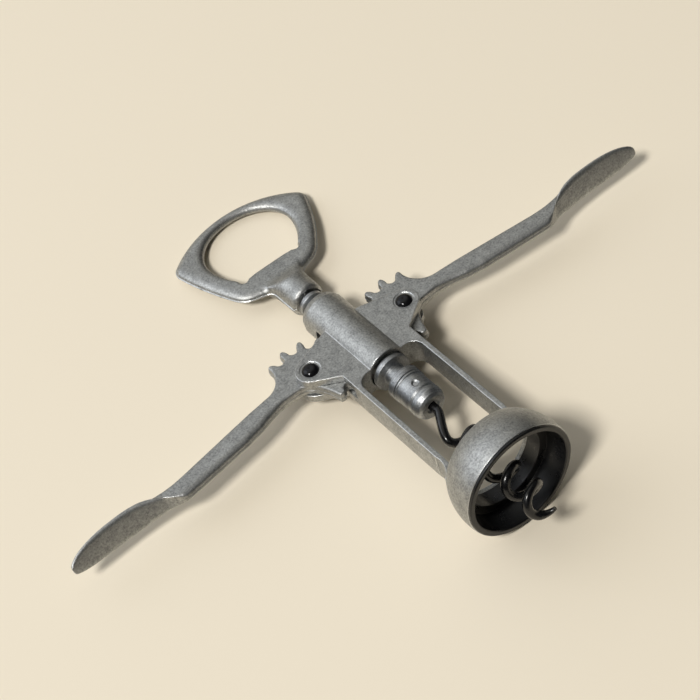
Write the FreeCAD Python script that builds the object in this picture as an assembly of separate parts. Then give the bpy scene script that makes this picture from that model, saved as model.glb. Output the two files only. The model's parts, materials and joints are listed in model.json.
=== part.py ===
import FreeCAD, Part
import math
import os
from FreeCAD import Placement, Rotation, Vector

# A wing corkscrew that opens crown caps too, lying on its back as it rests on a table.
# Every piece is modelled about the tool's own axis: X across the two levers, Y from the bell to
# the handle, Z out of the front, with the origin midway between the two rivets. The whole tool is
# then laid down on the bell and the far edge of the handle, so that it rests on the plane Z = 0.

# ---------------------------------------------------------------- sizes, in millimetres and degrees
# frame casting: barrel, ears, legs and bell in one piece
RIVET_SPAN = 36.4          # between the two rivet axes
CASTING_DEPTH = 9.4        # front to back, over the ears and the legs
BARREL_WALL = 1.2
BARREL_TOP = 20.3
BARREL_BOTTOM = -13.7
BARREL_CHAMFER_LENGTH = 2.1
BARREL_CHAMFER_DEPTH = 0.75
BARREL_SLOT_TOP = 12.3     # the gear sectors come through the barrel's wall as high as this
BARREL_SLOT_HALF = 2.6
EAR_RADIUS = 4.7
EAR_TOP = 8.6              # where the ears leave the barrel
EAR_HEEL = -9.2            # corner where the ears turn down into the legs
LEG_OUTER_X = 12.85
LEG_THICKNESS = 1.55
LEG_RIDGE = 0.45           # how far the moulding draft swells each side at mid depth
LEG_ARCH_RADIUS = 4.0
LEG_FLARE_START = -52.5
SEAT_RECESS_RADIUS = 3.3   # shallow spot face round each rivet head
SEAT_RECESS_DEPTH = 0.2
# bell and its liner
BELL_RADIUS = 18.92        # the bell is a zone of a ball
BELL_CENTRE = -70.48
BELL_MOUTH = -74.24
BELL_TOP = -59.4
BELL_HOLE_CLEARANCE = 0.2  # the bell's hole is this much wider than the liner's neck
BELL_EDGE_ROUND = 0.6
LINER_LIP_HEIGHT = 0.95
LINER_LIP_OVERHANG = 0.2   # bare metal left outside the lip
BELL_WALL = 1.36           # metal left at the rim, outside the liner
LINER_WALL = 0.9
LINER_TAPER = 0.6
LINER_LEDGE = -66.4        # the bottle's lip stops here
LINER_LEDGE_WIDTH = 2.7    # how far the ledge stands in from the liner's wall
LINER_NECK_WALL = 1.0
LINER_FIT = 0.05
# levers and their gear sectors
LEVER_DEPTH = 4.0
LEVER_ANGLE = -2.3         # the levers at rest, below level
CLEVIS_CLEARANCE = 0.15
PITCH_RADIUS = 13.4
TOOTH_COUNT = 9
TOOTH_PITCH = 24.7         # degrees
SECOND_TOOTH_ANGLE = 87.6  # from the lever's own line, towards the handle
TOOTH_THICKNESS = 2.75     # on the pitch circle
TOOTH_ADDENDUM = 1.6
TOOTH_DEDENDUM = 2.0
TIP_ROUND = 0.6            # height of the rounded tip
ROOT_ROUND = 0.8           # height of the rounded root
CLAW_RADIUS = 12.8         # the last tooth is a shorter, longer-backed claw
SHORTEST_FLANK = 0.2       # straight side left on a tooth between its two rounds
PRESSURE_ANGLE = 20.0
SHANK_END = 50.0           # where the flat shank starts to turn into the paddle
EYE_RADIUS = 4.4
LEVER_LENGTH = 91.3        # rivet axis to the tip of the paddle
# rack sleeve
RACK_ADDENDUM = 1.3
RACK_BACKLASH = 0.40
MESH_CLEARANCE = 0.25      # tooth tips to the core of the rack
SLIDE_CLEARANCE = 0.15
RACK_TOP_RADIUS = 4.4      # plain upper end of the sleeve
RACK_STUB_RADIUS = 3.6     # the sleeve's end is turned down under the neck
RACK_STUB_LENGTH = 0.9
RACK_NECK_RADIUS = 3.6     # square groove that the claws drop into
RACK_LAND_RADIUS = 5.6     # plain lower end of the sleeve
RACK_LAND_TOP = -20.8
RACK_LOWER_END = -23.2
RACK_SHOULDER_SLOPE = 0.4  # lean of the square groove's two sides
# spindle, worm and chuck
WIRE_DIAMETER = 2.8
SPINDLE_CLEARANCE = 0.05
SPINDLE_TOP = 33.5
WORM_RADIUS = 3.8          # of the wire's centre line
WORM_PITCH = 9.18
WORM_ASIDE = -0.9          # the coil, as wound, stands this far across from the spindle's line
WORM_BACK = -0.5           # and this far out of it front to back
WORM_BEND = -36.8          # the wire comes straight out of the chuck as far as this
WORM_COIL_START = -46.9    # and has swung out to the helix here
WORM_LEAVE_PULL = 5.9      # how far the swing keeps the spindle's direction
WORM_ARRIVE_PULL = 12.0    # and how early it takes up the helix's
WORM_TIP = -85.7
WORM_TIP_ANGLE = -44.8     # where the tip stands round the axis, from +X towards +Z
WORM_POINT_REACH = 1.8     # the wire tapers over this much of the axis
WORM_POINT_RADIUS = 0.6
CHUCK_COLLAR_RADIUS = 5.65 # a short collar at the chuck's upper end
CHUCK_COLLAR_LENGTH = 1.1
CHUCK_RADIUS = 5.35
CHUCK_LENGTH = 11.7
CHUCK_BEAD_LENGTH = 4.3
CHUCK_BEAD_RADIUS = 5.5
END_PLAY = 0.1
PIN_RADIUS = 0.75
PIN_OFFSET = 4.7           # from the top of the chuck
PIN_SINK = 0.45
DIMPLE_RADIUS = 1.25
# opener handle
HANDLE_TOP = 77.0
HANDLE_DEPTH = 3.6
HANDLE_EDGE_ROUND = 1.5
HANDLE_TOP_ARC = 36.0      # radius of the far edge
HANDLE_HALF_WIDTH = 25.4
HANDLE_CORNER_ROUND = 4.0
HANDLE_FLANK_BULGE = 1.15  # how far the flanks swell beyond a straight line
HEEL_HALF_WIDTH = 14.5     # where the flanks turn in towards the neck
HEEL_PLACE = 40.6
HEEL_ROUND = 9.0
NECK_RADIUS = 5.9
NECK_LOW = 26.0
NECK_TOP = 38.2
WEB_HALF_DEPTH = 1.9       # of the web behind the lip, which runs out of the neck
WEB_HALF_WIDTH = 8.8
LIP_EDGE = 47.2            # the straight lip that lifts a crown cap
LIP_HALF_WIDTH = 8.4
LIP_NOTCH = 0.8            # depth of the notch at each end of the lip
MOUTH_TOP = 73.4
MOUTH_HALF_WIDTH = 15.6
MOUTH_EDGE_ROUND = 1.3
MOUTH_SHAPE = ((0.436, 0.954), (0.788, 0.817), (0.987, 0.603), (0.978, 0.382), (0.724, 0.046))
# rivets
RIVET_RADIUS = 1.9
RIVET_HEAD_RADIUS = 2.7
RIVET_HEAD_HEIGHT = 1.1
RIVET_CLEARANCE = 0.05

# ---------------------------------------------------------------- sizes that follow from them
rivet_x = RIVET_SPAN / 2
half_depth = CASTING_DEPTH / 2
half_lever = LEVER_DEPTH / 2
half_clevis = half_lever + CLEVIS_CLEARANCE
tip_radius = PITCH_RADIUS + TOOTH_ADDENDUM
root_radius = PITCH_RADIUS - TOOTH_DEDENDUM
base_radius = PITCH_RADIUS * math.cos(math.radians(PRESSURE_ANGLE))
pitch_length = PITCH_RADIUS * math.radians(TOOTH_PITCH)
rack_pitch_radius = rivet_x - PITCH_RADIUS
ring_radius = rack_pitch_radius + RACK_ADDENDUM
core_radius = rivet_x - tip_radius - MESH_CLEARANCE
bore_radius = ring_radius + SLIDE_CLEARANCE
barrel_radius = bore_radius + BARREL_WALL
leg_inner_x = LEG_OUTER_X - LEG_THICKNESS
wire_radius = WIRE_DIAMETER / 2
spindle_bore = wire_radius + SPINDLE_CLEARANCE
liner_lip_top = BELL_MOUTH + LINER_LIP_HEIGHT
rim_radius = math.sqrt(BELL_RADIUS ** 2 - (liner_lip_top - BELL_CENTRE) ** 2)
liner_pocket_radius = rim_radius - BELL_WALL
liner_outer_radius = liner_pocket_radius - LINER_FIT
liner_mouth_radius = liner_outer_radius - LINER_WALL + LINER_TAPER / 2
liner_ledge_radius = liner_mouth_radius - LINER_TAPER
liner_neck_radius = liner_ledge_radius - LINER_LEDGE_WIDTH
bell_hole_radius = liner_neck_radius + BELL_HOLE_CLEARANCE

AXIS = Vector(0, 1, 0)
FRONT = Vector(0, 0, 1)


def tooth_angle(number):
    """Angle of a tooth's centre line from the lever's own line, counted from tooth 1."""
    return SECOND_TOOTH_ANGLE + (number - 2) * TOOTH_PITCH


def groove_place(number):
    """Place along the axis of the rack groove that takes the tooth of this number."""
    return PITCH_RADIUS * math.radians(180 - tooth_angle(number) - LEVER_ANGLE)


RACK_GROOVES = [groove_place(number) for number in range(2, TOOTH_COUNT + 1)]


def polar(radius, degrees):
    angle = math.radians(degrees)
    return Vector(radius * math.cos(angle), radius * math.sin(angle), 0)


def line(start, end):
    return Part.LineSegment(start, end).toShape()


def arc(start, middle, end):
    return Part.Arc(start, middle, end).toShape()


def curve(points):
    spline = Part.BSplineCurve()
    spline.interpolate(points)
    return spline.toShape()


def slab(edges, half_height):
    """A closed outline in the XY plane, made as thick as twice half_height about Z = 0."""
    face = Part.Face(Part.Wire(edges))
    face.translate(Vector(0, 0, -half_height))
    return face.extrude(Vector(0, 0, 2 * half_height))


def turned(points):
    """A solid of revolution about the tool's axis from (radius, place) pairs."""
    corners = [Vector(radius, place, 0) for radius, place in points]
    face = Part.Face(Part.makePolygon(corners + corners[:1]))
    return face.revolve(Vector(0, 0, 0), AXIS, 360)


def rod(radius, low, high):
    return Part.makeCylinder(radius, high - low, Vector(0, low, 0), AXIS)


def mirrored(shape):
    return shape.mirror(Vector(0, 0, 0), Vector(1, 0, 0))


# ---------------------------------------------------------------- frame casting
def tangent_point(corner, centre, radius, side):
    """Where the line from corner touches the circle; side chooses between its two tangents."""
    away = corner - centre
    spread = math.degrees(math.acos(radius / away.Length))
    heading = math.degrees(math.atan2(away.y, away.x))
    return centre + polar(radius, heading + side * spread)


def ear_and_leg():
    """The right ear, its web to the barrel and the right leg, in one flat outline."""
    centre = Vector(rivet_x, 0, 0)
    top = Vector(barrel_radius * 0.9, EAR_TOP, 0)
    heel = Vector(LEG_OUTER_X, EAR_HEEL, 0)
    upper = tangent_point(top, centre, EAR_RADIUS, -1)
    lower = tangent_point(heel, centre, EAR_RADIUS, 1)
    nose = centre + Vector(EAR_RADIUS, 0, 0)
    arch_centre = Vector(leg_inner_x - LEG_ARCH_RADIUS, BARREL_BOTTOM - LEG_ARCH_RADIUS, 0)
    arch_leg = arch_centre + polar(LEG_ARCH_RADIUS, 0)
    arch_middle = arch_centre + polar(LEG_ARCH_RADIUS, 45)
    arch_barrel = arch_centre + polar(LEG_ARCH_RADIUS, 90)
    foot_outer = Vector(LEG_OUTER_X, LEG_FLARE_START, 0)
    foot_inner = Vector(leg_inner_x, LEG_FLARE_START, 0)
    low_corner = Vector(0, BARREL_BOTTOM, 0)
    high_corner = Vector(0, EAR_TOP, 0)
    edges = [line(high_corner, top), line(top, upper), arc(upper, nose, lower), line(lower, heel),
             line(heel, foot_outer), line(foot_outer, foot_inner), line(foot_inner, arch_leg),
             arc(arch_leg, arch_middle, arch_barrel), line(arch_barrel, low_corner),
             line(low_corner, high_corner)]
    return slab(edges, half_depth)


def leg_ridge():
    """The leg's drafted section: widest at mid depth, where the die halves met."""
    section = [Vector(leg_inner_x, 0, half_depth), Vector(LEG_OUTER_X, 0, half_depth),
               Vector(LEG_OUTER_X + LEG_RIDGE, 0, 0), Vector(LEG_OUTER_X, 0, -half_depth),
               Vector(leg_inner_x, 0, -half_depth), Vector(leg_inner_x - LEG_RIDGE, 0, 0)]
    face = Part.Face(Part.makePolygon(section + section[:1]))
    top = BARREL_BOTTOM - LEG_ARCH_RADIUS
    face.translate(Vector(0, top, 0))
    return face.extrude(Vector(0, LEG_FLARE_START - top, 0))


def ball_radius_at(place):
    """Outside radius of the bell at this place along the axis."""
    return math.sqrt(BELL_RADIUS ** 2 - (place - BELL_CENTRE) ** 2)


def leg_foot():
    """The leg spreads outwards into the shoulder of the bell, as a gusset."""
    shoulder = BELL_TOP - 1.2
    outer_top = Vector(LEG_OUTER_X, LEG_FLARE_START, 0)
    outer_low = Vector(ball_radius_at(shoulder) - 0.25, shoulder, 0)
    outer_mid = Vector(LEG_OUTER_X + 0.45, (LEG_FLARE_START + shoulder) / 2 - 0.8, 0)
    inner_low = Vector(bell_hole_radius + 0.3, shoulder, 0)
    inner_mid = Vector(leg_inner_x + 0.2, BELL_TOP + 1.5, 0)
    inner_top = Vector(leg_inner_x, LEG_FLARE_START, 0)
    edges = [arc(outer_top, outer_mid, outer_low), line(outer_low, inner_low),
             line(inner_low, inner_mid), line(inner_mid, inner_top), line(inner_top, outer_top)]
    return slab(edges, half_depth)


def bell():
    """A zone of a ball, open at both ends, with a stepped pocket for the liner."""
    rim = liner_lip_top
    rim_outer = Vector(rim_radius, rim, 0)
    belly = Vector(BELL_RADIUS, BELL_CENTRE, 0)
    shoulder_place = BELL_TOP - BELL_EDGE_ROUND
    shoulder = Vector(ball_radius_at(shoulder_place), shoulder_place, 0)
    crown = Vector(shoulder.x - 1.3 * BELL_EDGE_ROUND, BELL_TOP, 0)
    hole_top = Vector(bell_hole_radius, BELL_TOP, 0)
    step = LINER_LEDGE + LINER_NECK_WALL
    pocket_top = BELL_TOP - 1.5
    neck_pocket = liner_neck_radius + LINER_NECK_WALL + LINER_FIT
    inside = [hole_top, Vector(bell_hole_radius, pocket_top, 0), Vector(neck_pocket, pocket_top, 0),
              Vector(neck_pocket, step, 0), Vector(liner_pocket_radius, step, 0),
              Vector(liner_pocket_radius, rim, 0), rim_outer]
    edges = [arc(rim_outer, belly, shoulder), line(shoulder, crown), line(crown, hole_top)]
    edges += [line(a, b) for a, b in zip(inside, inside[1:])]
    return Part.Face(Part.Wire(edges)).revolve(Vector(0, 0, 0), AXIS, 360)


def make_frame():
    chamfer_place = BARREL_TOP - BARREL_CHAMFER_LENGTH
    barrel = turned([(0, BARREL_BOTTOM), (barrel_radius, BARREL_BOTTOM), (barrel_radius, chamfer_place),
                     (barrel_radius - BARREL_CHAMFER_DEPTH, BARREL_TOP), (0, BARREL_TOP)])
    right = ear_and_leg().fuse([leg_ridge(), leg_foot()])
    frame = barrel.fuse([right, mirrored(right), bell()])
    frame = frame.cut(rod(bore_radius, BARREL_BOTTOM - LEG_ARCH_RADIUS, BARREL_TOP + 1))
    barrel_slot = Part.makeBox(2 * barrel_radius, BARREL_SLOT_TOP, 2 * BARREL_SLOT_HALF,
                               Vector(-barrel_radius, 0, -BARREL_SLOT_HALF))
    frame = frame.cut(barrel_slot)
    for side in (1, -1):
        pivot = Vector(side * rivet_x, 0, 0)
        slot = Part.makeCylinder(tip_radius + 3 * CLEVIS_CLEARANCE, 2 * half_clevis,
                                 pivot - FRONT * half_clevis)
        hole = Part.makeCylinder(RIVET_RADIUS, CASTING_DEPTH, pivot - FRONT * half_depth)
        frame = frame.cut([slot, hole])
        for face in (half_depth - SEAT_RECESS_DEPTH, -half_depth):
            spot = Part.makeCylinder(SEAT_RECESS_RADIUS, SEAT_RECESS_DEPTH, pivot + FRONT * face)
            frame = frame.cut(spot)
    return frame.removeSplitter()


# ---------------------------------------------------------------- bell liner
def make_liner():
    outer = liner_outer_radius
    lip_outer = rim_radius - LINER_LIP_OVERHANG
    lip_round = LINER_LIP_HEIGHT / 3
    step = LINER_LEDGE + LINER_NECK_WALL - LINER_FIT
    neck_outer = liner_neck_radius + LINER_NECK_WALL
    top = BELL_TOP - 1.5 - LINER_FIT
    return turned([(liner_mouth_radius + lip_round, BELL_MOUTH), (lip_outer - lip_round, BELL_MOUTH),
                   (lip_outer, BELL_MOUTH + lip_round), (lip_outer, liner_lip_top),
                   (outer, liner_lip_top), (outer, step), (neck_outer, step), (neck_outer, top),
                   (liner_neck_radius, top), (liner_neck_radius, LINER_LEDGE),
                   (liner_ledge_radius, LINER_LEDGE), (liner_mouth_radius, BELL_MOUTH + lip_round)])


# ---------------------------------------------------------------- levers
def involute(angle):
    return math.tan(angle) - angle


def half_tooth(radius):
    """Half the angle that an involute tooth fills at this radius, in degrees."""
    pressure = math.radians(PRESSURE_ANGLE)
    here = math.acos(min(1.0, base_radius / radius))
    half = TOOTH_THICKNESS / (2 * PITCH_RADIUS) + involute(pressure) - involute(here)
    return math.degrees(half)


def crest_radius(number):
    return CLAW_RADIUS if number == TOOTH_COUNT else tip_radius


def flank(number, side):
    """Points up one flank of a tooth, from its root round to its tip round."""
    high = crest_radius(number) - TIP_ROUND
    low = min(root_radius + ROOT_ROUND, high - SHORTEST_FLANK)
    centre = tooth_angle(number)
    return [polar(radius, centre + side * half_tooth(radius)) for radius in (low, (low + high) / 2, high)]


def sector_edges():
    """Teeth and root arcs from tooth 1 round to the inner flank of the last tooth."""
    edges = []
    for number in range(1, TOOTH_COUNT):
        falling = flank(number, 1)[::-1]
        rising = flank(number + 1, -1)
        valley = polar(root_radius, tooth_angle(number) + TOOTH_PITCH / 2)
        edges += [curve(falling), arc(falling[-1], valley, rising[0]), curve(rising)]
        if number + 1 < TOOTH_COUNT:
            crest = polar(tip_radius, tooth_angle(number + 1))
            edges.append(arc(rising[-1], crest, flank(number + 1, 1)[-1]))
    return edges


def lever_plate():
    """The flat part of a lever: gear sector, eye, claw and shank, in one outline."""
    first = flank(1, 1)[-1]
    first_back = polar(tip_radius - TIP_ROUND, tooth_angle(1) - half_tooth(tip_radius - TIP_ROUND))
    crest = polar(tip_radius, tooth_angle(1))
    last = flank(TOOTH_COUNT, -1)[-1]
    last_back = flank(TOOTH_COUNT, 1)[-1]
    last_crest = polar(CLAW_RADIUS, tooth_angle(TOOTH_COUNT))
    shank_top = Vector(14.7, 4.4, 0)
    armpit = Vector(9.3, 7.0, 0)
    end_top = Vector(SHANK_END, 1.0, 0)
    end_low = Vector(SHANK_END, -3.6, 0)
    belly = [Vector(EYE_RADIUS + 0.9, -1.5, 0), Vector(11.3, -0.9, 0), Vector(28, -2.1, 0)]
    claw = [last_back, Vector(0.1, -9.3, 0), Vector(1.2, -6.0, 0), Vector(2.9, -3.1, 0), belly[0]]
    edges = [line(end_top, shank_top), arc(shank_top, armpit, first_back),
             arc(first_back, crest, first)]
    edges += sector_edges()
    edges += [arc(last, last_crest, last_back), curve(claw), curve(belly), line(belly[-1], end_low),
              line(end_low, end_top)]
    return slab(edges, half_lever)


def paddle_section(place, centre, half_width, half_height, corner):
    """A round-cornered rectangle across the lever, for the loft of the paddle."""
    flat_y = half_width - corner
    flat_z = half_height - corner
    middle = Vector(place, centre, 0)
    diagonal = corner / math.sqrt(2)
    edges = []
    for sign_y, sign_z in ((1, 1), (-1, 1), (-1, -1), (1, -1)):
        hub = middle + Vector(0, sign_y * flat_y, sign_z * flat_z)
        side_y = hub + Vector(0, sign_y * corner, 0)
        side_z = hub + Vector(0, 0, sign_z * corner)
        bend = hub + Vector(0, sign_y * diagonal, sign_z * diagonal)
        ends = (side_y, side_z) if sign_y * sign_z > 0 else (side_z, side_y)
        edges.append((ends[0], bend, ends[1]))
    loop = []
    for index, corner_arc in enumerate(edges):
        loop.append(arc(*corner_arc))
        loop.append(line(corner_arc[2], edges[(index + 1) % 4][0]))
    return Part.Wire(loop)


def paddle():
    """The shank turns into an upright leaf that the hand pushes down on."""
    sections = [(SHANK_END, -1.3, 2.3, half_lever, 0.5),
                (SHANK_END + 4, -1.45, 2.25, half_lever + 0.15, 0.7),
                (SHANK_END + 8, -0.9, 2.05, 2.6, 1.0),
                (SHANK_END + 12, 0.1, 1.8, 3.2, 1.3),
                (SHANK_END + 18, 1.1, 1.6, 4.2, 1.4),
                (SHANK_END + 25, 1.5, 1.5, 4.5, 1.35),
                (SHANK_END + 32, 1.4, 1.35, 4.0, 1.25),
                (SHANK_END + 37, 1.0, 1.15, 3.1, 1.05),
                (LEVER_LENGTH - 1.4, 0.6, 0.95, 1.9, 0.85),
                (LEVER_LENGTH, 0.4, 0.4, 0.7, 0.3)]
    return Part.makeLoft([paddle_section(*section) for section in sections], True, False)


def make_lever(side):
    lever = lever_plate().fuse(paddle())
    eye = Part.makeCylinder(RIVET_RADIUS + RIVET_CLEARANCE, LEVER_DEPTH, Vector(0, 0, -half_lever))
    lever = lever.cut(eye).removeSplitter()
    lever.rotate(Vector(0, 0, 0), FRONT, LEVER_ANGLE)
    lever.translate(Vector(rivet_x, 0, 0))
    return lever if side > 0 else mirrored(lever)


# ---------------------------------------------------------------- rivets
def make_rivet(side):
    """A domed rivet, closed over the same way at the back."""
    seat = half_depth - SEAT_RECESS_DEPTH
    bottom = Vector(0, 0, 0)
    centre_top = Vector(0, 0, seat + RIVET_HEAD_HEIGHT)
    shoulder = Vector(RIVET_HEAD_RADIUS * 0.78, 0, seat + RIVET_HEAD_HEIGHT * 0.72)
    rim = Vector(RIVET_HEAD_RADIUS, 0, seat)
    under = Vector(RIVET_RADIUS, 0, seat)
    waist = Vector(RIVET_RADIUS, 0, 0)
    edges = [line(bottom, centre_top), arc(centre_top, shoulder, rim), line(rim, under),
             line(under, waist), line(waist, bottom)]
    half = Part.Face(Part.Wire(edges)).revolve(Vector(0, 0, 0), FRONT, 360)
    rivet = half.fuse(half.mirror(Vector(0, 0, 0), FRONT)).removeSplitter()
    rivet.translate(Vector(side * rivet_x, 0, 0))
    return rivet


# ---------------------------------------------------------------- rack sleeve
def make_rack():
    """Ring teeth all round the sleeve, so that it drives both sectors however it is turned."""
    slope = math.tan(math.radians(PRESSURE_ANGLE))
    ring_thickness = pitch_length - TOOTH_THICKNESS - RACK_BACKLASH
    half_gap = (pitch_length - ring_thickness) / 2

    def half_mouth(radius):
        return half_gap + (radius - rack_pitch_radius) * slope

    top = NECK_LOW - END_PLAY
    shoulder = top - RACK_STUB_LENGTH
    profile = [(spindle_bore, top), (RACK_STUB_RADIUS, top), (RACK_STUB_RADIUS, shoulder),
               (RACK_TOP_RADIUS, shoulder)]
    upper_radius = RACK_TOP_RADIUS
    for place in RACK_GROOVES[:-1]:
        profile += [(upper_radius, place + half_mouth(upper_radius)),
                    (core_radius, place + half_mouth(core_radius)),
                    (core_radius, place - half_mouth(core_radius)),
                    (ring_radius, place - half_mouth(ring_radius))]
        upper_radius = ring_radius
    neck_top = RACK_GROOVES[-1] + half_mouth(ring_radius)
    profile += [(ring_radius, neck_top), (RACK_NECK_RADIUS, neck_top - RACK_SHOULDER_SLOPE),
                (RACK_NECK_RADIUS, RACK_LAND_TOP + RACK_SHOULDER_SLOPE),
                (RACK_LAND_RADIUS, RACK_LAND_TOP)]
    profile += [(RACK_LAND_RADIUS, RACK_LOWER_END), (spindle_bore, RACK_LOWER_END)]
    return turned(profile)


# ---------------------------------------------------------------- handle, chuck, pin and worm
def flip(point):
    return Vector(-point.x, point.y, 0)


def handle_corner():
    """Where the far edge's arc reaches the handle's full width."""
    rise = math.sqrt(HANDLE_TOP_ARC ** 2 - HANDLE_HALF_WIDTH ** 2)
    return Vector(HANDLE_HALF_WIDTH, HANDLE_TOP - HANDLE_TOP_ARC + rise, 0)


def handle_outline():
    """The head's outline, from corner to corner and down to the neck; corners are rounded later."""
    top = Vector(0, HANDLE_TOP, 0)
    corner = handle_corner()
    heel = Vector(HEEL_HALF_WIDTH, HEEL_PLACE, 0)
    chord = corner - heel
    bulge = Vector(chord.y, -chord.x, 0).normalize() * HANDLE_FLANK_BULGE
    flank_middle = (corner + heel) / 2 + bulge
    armpit = Vector(NECK_RADIUS + 2.0, NECK_TOP, 0)
    bend = Vector(NECK_RADIUS + 0.35, NECK_TOP - 1.2, 0)
    neck = Vector(NECK_RADIUS - 0.6, NECK_TOP - 4.4, 0)
    return [arc(flip(corner), top, corner), arc(corner, flank_middle, heel), line(heel, armpit),
            arc(armpit, bend, neck), line(neck, flip(neck)), arc(flip(neck), flip(bend), flip(armpit)),
            line(flip(armpit), flip(heel)), arc(flip(heel), flip(flank_middle), flip(corner))]


def mouth_cutter():
    """The opening that goes over a crown cap, with a straight lip that lifts its edge."""
    height = MOUTH_TOP - LIP_EDGE
    right = [Vector(across * MOUTH_HALF_WIDTH, LIP_EDGE + up * height, 0) for across, up in MOUTH_SHAPE]
    sides = [flip(point) for point in reversed(right)] + [Vector(0, MOUTH_TOP, 0)] + right
    end = right[-1]
    lip = Vector(LIP_HALF_WIDTH, LIP_EDGE, 0)
    notch = Vector((lip.x + end.x) / 2, LIP_EDGE - LIP_NOTCH, 0)
    edges = [curve(sides), arc(end, (end + notch) / 2 + Vector(0.35, -0.35, 0), notch),
             line(notch, lip), line(lip, flip(lip)), line(flip(lip), flip(notch)),
             arc(flip(notch), flip((end + notch) / 2 + Vector(0.35, -0.35, 0)), sides[0])]
    return slab(edges, HANDLE_DEPTH)


def neck_and_web():
    """The round neck, and the web that flattens out of it towards the lip."""
    neck_end = NECK_TOP - 2.6
    neck = rod(NECK_RADIUS, NECK_LOW, neck_end)
    start = Part.Wire(Part.makeCircle(NECK_RADIUS, Vector(0, neck_end, 0), AXIS))
    end = web_section(LIP_EDGE, WEB_HALF_WIDTH, WEB_HALF_DEPTH)
    return neck.fuse(Part.makeLoft([start, end], True, True))


def web_section(place, half_width, half_depth):
    """An oval across the tool, flat in the middle and round at its two ends."""
    flat = half_width - half_depth
    front_right = Vector(flat, place, half_depth)
    front_left = Vector(-flat, place, half_depth)
    back_right = Vector(flat, place, -half_depth)
    back_left = Vector(-flat, place, -half_depth)
    return Part.Wire([line(front_left, front_right),
                      arc(front_right, Vector(half_width, place, 0), back_right),
                      line(back_right, back_left),
                      arc(back_left, Vector(-half_width, place, 0), front_left)])


def upright_edges(shape, places):
    """Edges along Z that stand at the given places."""
    found = []
    for edge in shape.Edges:
        ends = [vertex.Point for vertex in edge.Vertexes]
        if len(ends) == 2 and abs(ends[0].x - ends[1].x) + abs(ends[0].y - ends[1].y) < 1e-6:
            spot = Vector(ends[0].x, ends[0].y, 0)
            if any((spot - place).Length < 0.1 for place in places):
                found.append(edge)
    return found


def level_edges(shape, height, lowest):
    """Edges that lie wholly on the faces at +height and -height, above the neck."""
    found = []
    for edge in shape.Edges:
        box = edge.BoundBox
        flat = box.ZLength < 1e-4 and abs(abs(box.ZMin) - height) < 1e-4
        if flat and box.Center.y > lowest:
            found.append(edge)
    return found


def mouth_edges(plate, height):
    """The long curved edges of the mouth, above its straight lip."""
    found = []
    for edge in level_edges(plate, height, (LIP_EDGE + MOUTH_TOP) / 2 - 2):
        box = edge.BoundBox
        if box.YMax < (MOUTH_TOP + HANDLE_TOP - HANDLE_EDGE_ROUND) / 2 and box.XLength > MOUTH_HALF_WIDTH:
            found.append(edge)
    return found


def make_handle():
    half = HANDLE_DEPTH / 2
    plate = slab(handle_outline(), half)
    corner = handle_corner()
    heel = Vector(HEEL_HALF_WIDTH, HEEL_PLACE, 0)
    plate = plate.makeFillet(HANDLE_CORNER_ROUND, upright_edges(plate, [corner, flip(corner)]))
    plate = plate.makeFillet(HEEL_ROUND, upright_edges(plate, [heel, flip(heel)]))
    plate = plate.makeFillet(HANDLE_EDGE_ROUND, level_edges(plate, half, NECK_TOP - 4))
    plate = plate.cut(mouth_cutter())
    plate = plate.makeFillet(MOUTH_EDGE_ROUND, mouth_edges(plate, half))
    handle = plate.fuse(neck_and_web())
    handle = handle.cut(rod(wire_radius, NECK_LOW - 1, SPINDLE_TOP))
    return handle.removeSplitter()


def make_chuck():
    top = RACK_LOWER_END - END_PLAY
    low = top - CHUCK_LENGTH
    bead_top = low + CHUCK_BEAD_LENGTH
    bead_mid = low + CHUCK_BEAD_LENGTH / 2
    collar_low = top - CHUCK_COLLAR_LENGTH
    chuck = turned([(wire_radius, top), (CHUCK_COLLAR_RADIUS - 0.4, top),
                    (CHUCK_COLLAR_RADIUS, top - 0.4), (CHUCK_COLLAR_RADIUS, collar_low + 0.2),
                    (CHUCK_RADIUS, collar_low), (CHUCK_RADIUS, bead_top + 0.4),
                    (CHUCK_BEAD_RADIUS - 0.5, bead_top), (CHUCK_BEAD_RADIUS, bead_top - 0.7),
                    (CHUCK_BEAD_RADIUS - 0.1, bead_mid), (CHUCK_BEAD_RADIUS - 0.7, low + 0.7),
                    (CHUCK_BEAD_RADIUS - 1.6, low),
                    (wire_radius + 0.9, low), (wire_radius + 0.7, low + 1.0),
                    (wire_radius, low + 1.0)])
    place = Vector(0, top - PIN_OFFSET, 0)
    pin_hole = Part.makeCylinder(PIN_RADIUS, 4 * CHUCK_RADIUS, place - FRONT * 2 * CHUCK_RADIUS)
    reach = CHUCK_RADIUS - PIN_SINK
    dimples = []
    for sign in (1, -1):
        dimples.append(Part.makeCone(PIN_RADIUS, DIMPLE_RADIUS * 1.6, PIN_SINK * 2,
                                     place + FRONT * sign * reach, FRONT * sign))
    return chuck.cut([pin_hole] + dimples).removeSplitter()


def make_pin():
    place = Vector(0, RACK_LOWER_END - END_PLAY - PIN_OFFSET, 0)
    half = CHUCK_RADIUS - PIN_SINK
    return Part.makeCylinder(PIN_RADIUS, 2 * half, place - FRONT * half)


def worm_point(place):
    """A point of the worm's centre line: a right-hand helix that ends at the tip's angle."""
    turn = math.radians(WORM_TIP_ANGLE) - 2 * math.pi * (place - WORM_TIP) / WORM_PITCH
    centre = Vector(WORM_ASIDE, place, WORM_BACK)
    return centre + Vector(WORM_RADIUS * math.cos(turn), 0, WORM_RADIUS * math.sin(turn))


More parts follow.
